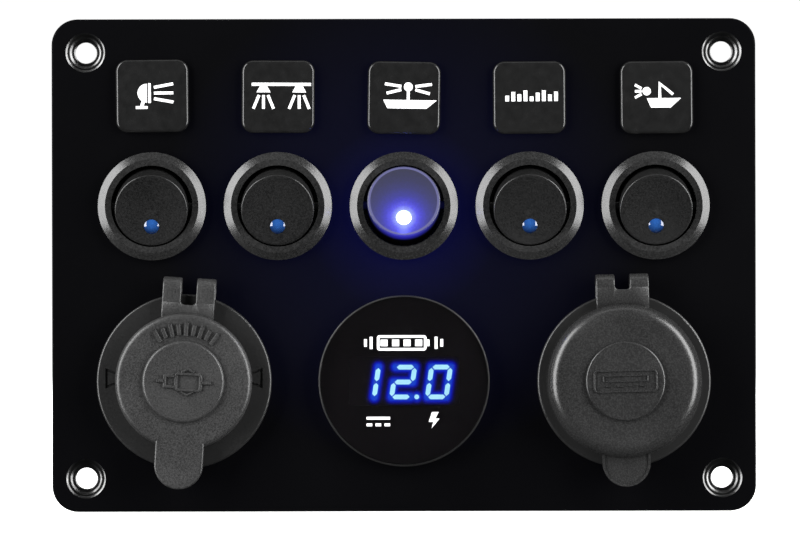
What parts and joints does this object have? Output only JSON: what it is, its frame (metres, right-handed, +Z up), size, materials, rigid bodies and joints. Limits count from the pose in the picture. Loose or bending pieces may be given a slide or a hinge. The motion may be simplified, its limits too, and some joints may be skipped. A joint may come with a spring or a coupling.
{
  "type": "rocker switch panel with battery voltmeter",
  "caption": "Flat black panel with round rocker switches under square labels, a capped power outlet, a round battery voltmeter and a capped charging port.",
  "frame": {"origin": "centre of the four corner screw holes, on the panel's rear mounting face", "axes": "+X to the user's right, +Z up, -Y out of the front face towards the user, +Y into the wall or dash"},
  "size_m": [0.15, 0.0693, 0.105],
  "materials": {
    "black_coated_aluminium": "fine matt black powder coat",
    "domed_label": "glossy clear dome over a dark printed film",
    "switch_plastic": "semi-gloss moulded black",
    "rocker_plastic": "satin moulded black",
    "blue_lens": "clear blue lens",
    "spring_steel": "bright",
    "contact_copper": "plain copper with a silver contact",
    "tinned_brass": "tinned, dull bright",
    "nut_plastic": "matt moulded black nylon",
    "socket_plastic": "satin moulded black",
    "sleeve_steel": "nickel plated",
    "insulator_board": "brown phenolic board",
    "cap_rubber": "matt dark grey rubber, fine grain",
    "charger_rubber": "matt charcoal rubber, fine grain",
    "smoked_window": "polished smoked window",
    "display_black": "black epoxy face",
    "circuit_board": "green solder resist",
    "tongue_plastic": "white moulded"
  },
  "bodies": {
    "panel": {"front_panel": "black_coated_aluminium", "label_1": "domed_label", "label_2": "domed_label", "label_3": "domed_label", "label_4": "domed_label", "label_5": "domed_label", "switch_housing_1": "switch_plastic", "switch_housing_2": "switch_plastic", "switch_housing_3": "switch_plastic", "switch_housing_4": "switch_plastic", "switch_housing_5": "switch_plastic", "switch_terminals_1": "tinned_brass", "switch_terminals_2": "tinned_brass", "switch_terminals_3": "tinned_brass", "switch_terminals_4": "tinned_brass", "switch_terminals_5": "tinned_brass", "ring_nuts": "nut_plastic", "outlet_housing": "socket_plastic", "outlet_contact_sleeve": "sleeve_steel", "outlet_insulator": "insulator_board", "outlet_centre_contact": "tinned_brass", "outlet_terminals": "tinned_brass", "outlet_strap_ring": "cap_rubber", "meter_housing": "socket_plastic", "meter_lens": "smoked_window", "meter_display": "display_black", "meter_board": "circuit_board", "meter_rear_cover": "socket_plastic", "meter_terminals": "tinned_brass", "charger_housing": "socket_plastic", "charger_port_shells": "sleeve_steel", "charger_port_tongues": "tongue_plastic", "charger_board": "circuit_board", "charger_rear_cover": "socket_plastic", "charger_terminals": "tinned_brass", "charger_strap_ring": "charger_rubber"},
    "rocker_button_1": {"rocker_1": "rocker_plastic", "indicator_lens_1": "blue_lens", "spring_plunger_1": "spring_steel"},
    "rocker_button_2": {"rocker_2": "rocker_plastic", "indicator_lens_2": "blue_lens", "spring_plunger_2": "spring_steel"},
    "rocker_button_3": {"rocker_3": "rocker_plastic", "indicator_lens_3": "blue_lens", "spring_plunger_3": "spring_steel"},
    "rocker_button_4": {"rocker_4": "rocker_plastic", "indicator_lens_4": "blue_lens", "spring_plunger_4": "spring_steel"},
    "rocker_button_5": {"rocker_5": "rocker_plastic", "indicator_lens_5": "blue_lens", "spring_plunger_5": "spring_steel"},
    "see_saw_1": {"contact_lever_1": "contact_copper"},
    "see_saw_2": {"contact_lever_2": "contact_copper"},
    "see_saw_3": {"contact_lever_3": "contact_copper"},
    "see_saw_4": {"contact_lever_4": "contact_copper"},
    "see_saw_5": {"contact_lever_5": "contact_copper"},
    "outlet_flip_cap": {"outlet_strap_end": "cap_rubber", "outlet_cap": "cap_rubber"},
    "charger_flip_cap": {"charger_strap_end": "charger_rubber", "charger_cap": "charger_rubber"}
  },
  "joints": [
    {"name": "switch_1_rock", "type": "hinge", "parent": "panel", "child": "rocker_button_1", "pos_m": [-0.0536, -0.0031, 0.0126], "axis": [1, 0, 0], "range_deg": [-32, 0]},
    {"name": "switch_2_rock", "type": "hinge", "parent": "panel", "child": "rocker_button_2", "pos_m": [-0.0268, -0.0031, 0.0126], "axis": [1, 0, 0], "range_deg": [-32, 0]},
    {"name": "switch_3_rock", "type": "hinge", "parent": "panel", "child": "rocker_button_3", "pos_m": [0, -0.0031, 0.0126], "axis": [1, 0, 0], "range_deg": [0, 32]},
    {"name": "switch_4_rock", "type": "hinge", "parent": "panel", "child": "rocker_button_4", "pos_m": [0.0268, -0.0031, 0.0126], "axis": [1, 0, 0], "range_deg": [-32, 0]},
    {"name": "switch_5_rock", "type": "hinge", "parent": "panel", "child": "rocker_button_5", "pos_m": [0.0536, -0.0031, 0.0126], "axis": [1, 0, 0], "range_deg": [-32, 0]},
    {"name": "switch_1_contact", "type": "hinge", "parent": "panel", "child": "see_saw_1", "pos_m": [-0.0536, 0.007, 0.0126], "axis": [1, 0, 0], "range_deg": [0, 16]},
    {"name": "switch_2_contact", "type": "hinge", "parent": "panel", "child": "see_saw_2", "pos_m": [-0.0268, 0.007, 0.0126], "axis": [1, 0, 0], "range_deg": [0, 16]},
    {"name": "switch_3_contact", "type": "hinge", "parent": "panel", "child": "see_saw_3", "pos_m": [0, 0.007, 0.0126], "axis": [1, 0, 0], "range_deg": [-16, 0]},
    {"name": "switch_4_contact", "type": "hinge", "parent": "panel", "child": "see_saw_4", "pos_m": [0.0268, 0.007, 0.0126], "axis": [1, 0, 0], "range_deg": [0, 16]},
    {"name": "switch_5_contact", "type": "hinge", "parent": "panel", "child": "see_saw_5", "pos_m": [0.0536, 0.007, 0.0126], "axis": [1, 0, 0], "range_deg": [0, 16]},
    {"name": "outlet_cap_hinge", "type": "hinge", "parent": "panel", "child": "outlet_flip_cap", "pos_m": [-0.0454, -0.005, -0.00259], "axis": [-0.9981, 0, 0.061], "range_deg": [0, 105], "stiffness_Nm_per_rad": 0.001},
    {"name": "charger_cap_hinge", "type": "hinge", "parent": "panel", "child": "charger_flip_cap", "pos_m": [0.04627, -0.005, -0.00196], "axis": [-0.9998, 0, -0.0209], "range_deg": [0, 105], "stiffness_Nm_per_rad": 0.001}
  ],
  "couplings": [
    {"joint": "switch_1_contact", "follows": "switch_1_rock", "ratio": -0.5},
    {"joint": "switch_2_contact", "follows": "switch_2_rock", "ratio": -0.5},
    {"joint": "switch_3_contact", "follows": "switch_3_rock", "ratio": -0.5},
    {"joint": "switch_4_contact", "follows": "switch_4_rock", "ratio": -0.5},
    {"joint": "switch_5_contact", "follows": "switch_5_rock", "ratio": -0.5}
  ]
}
